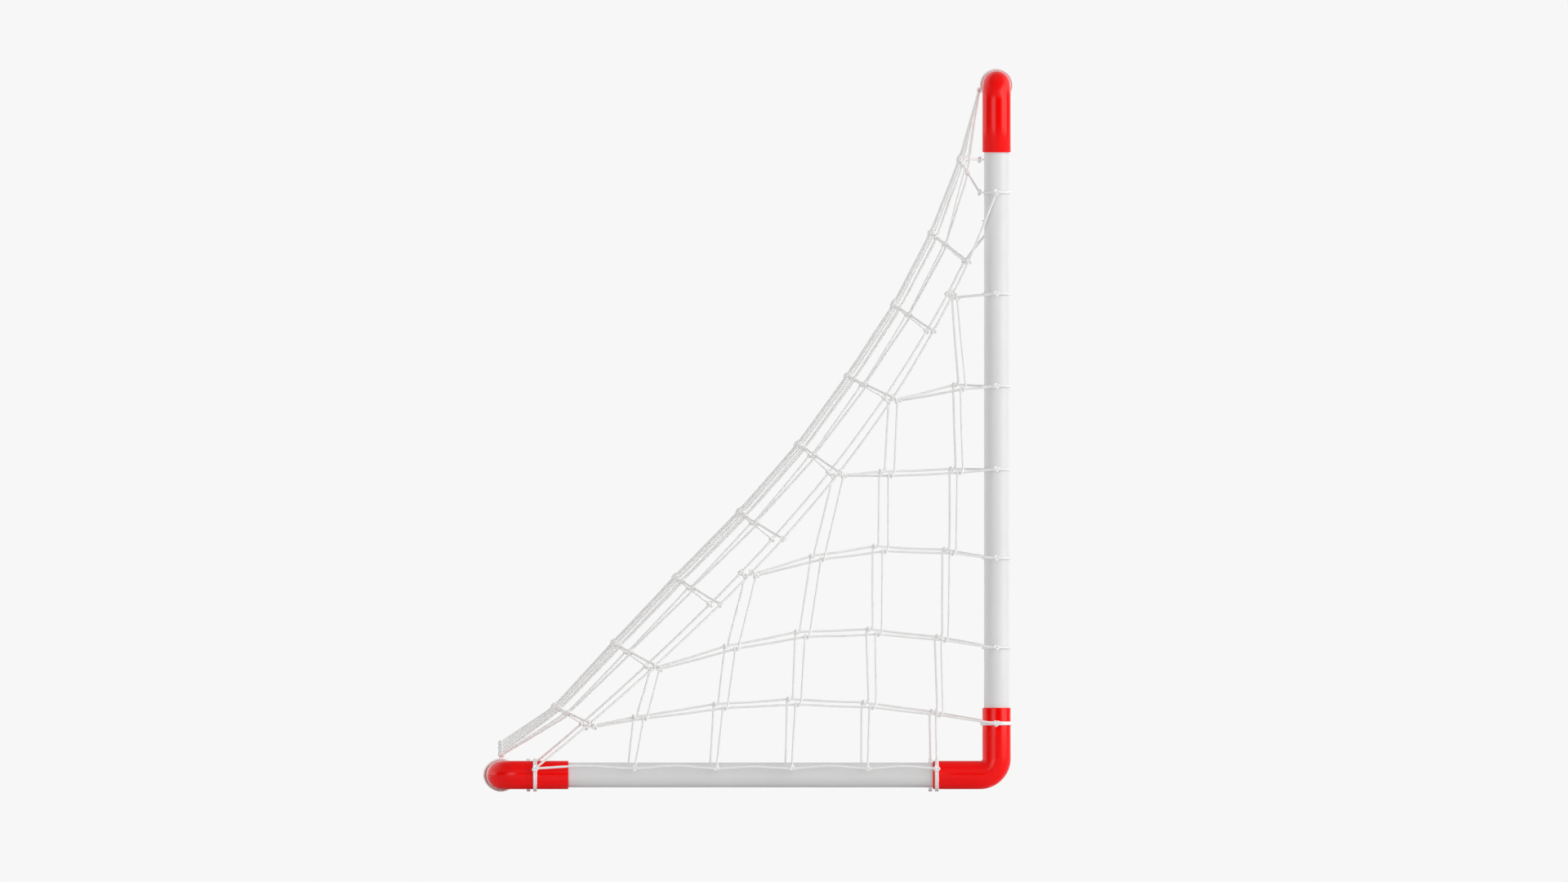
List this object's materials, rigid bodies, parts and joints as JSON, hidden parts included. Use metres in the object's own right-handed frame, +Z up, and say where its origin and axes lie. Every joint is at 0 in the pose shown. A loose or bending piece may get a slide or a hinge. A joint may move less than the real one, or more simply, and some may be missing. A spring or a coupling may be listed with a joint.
{
  "type": "hockey goal net",
  "caption": "Box-frame hockey goal of white plastic pipe in red push-fit elbows, with a sloping knotted cord net lashed round the frame.",
  "frame": {"origin": "middle of the floor rectangle the goal takes up, at the height of the lashings it rests on", "axes": "+Z up, the mouth faces -Y, the width runs along X"},
  "size_m": [1.8538, 0.8973, 1.2276],
  "materials": {
    "white_pipe": "satin light grey-white PVC pipe",
    "red_elbow": "glossy moulded red PVC",
    "net_cord": "twisted white cord",
    "border_cord": "twisted white cord",
    "lashing_cord": "twisted white cord, knotted"
  },
  "bodies": {
    "root": {"left_post": "white_pipe", "right_post": "white_pipe", "crossbar": "white_pipe", "left_base_pipe": "white_pipe", "right_base_pipe": "white_pipe", "back_bar": "white_pipe", "left_top_elbow": "red_elbow", "left_front_elbow": "red_elbow", "left_back_elbow": "red_elbow", "right_top_elbow": "red_elbow", "right_front_elbow": "red_elbow", "right_back_elbow": "red_elbow", "back_net": "net_cord", "left_side_net": "net_cord", "right_side_net": "net_cord", "top_border_cord": "border_cord", "back_border_cord": "border_cord", "left_base_border_cord": "border_cord", "left_seam_cord": "border_cord", "right_base_border_cord": "border_cord", "right_seam_cord": "border_cord", "crossbar_lashings": "lashing_cord", "back_bar_lashings": "lashing_cord", "left_post_lashings": "lashing_cord", "left_base_lashings": "lashing_cord", "right_post_lashings": "lashing_cord", "right_base_lashings": "lashing_cord"}
  },
  "joints": []
}
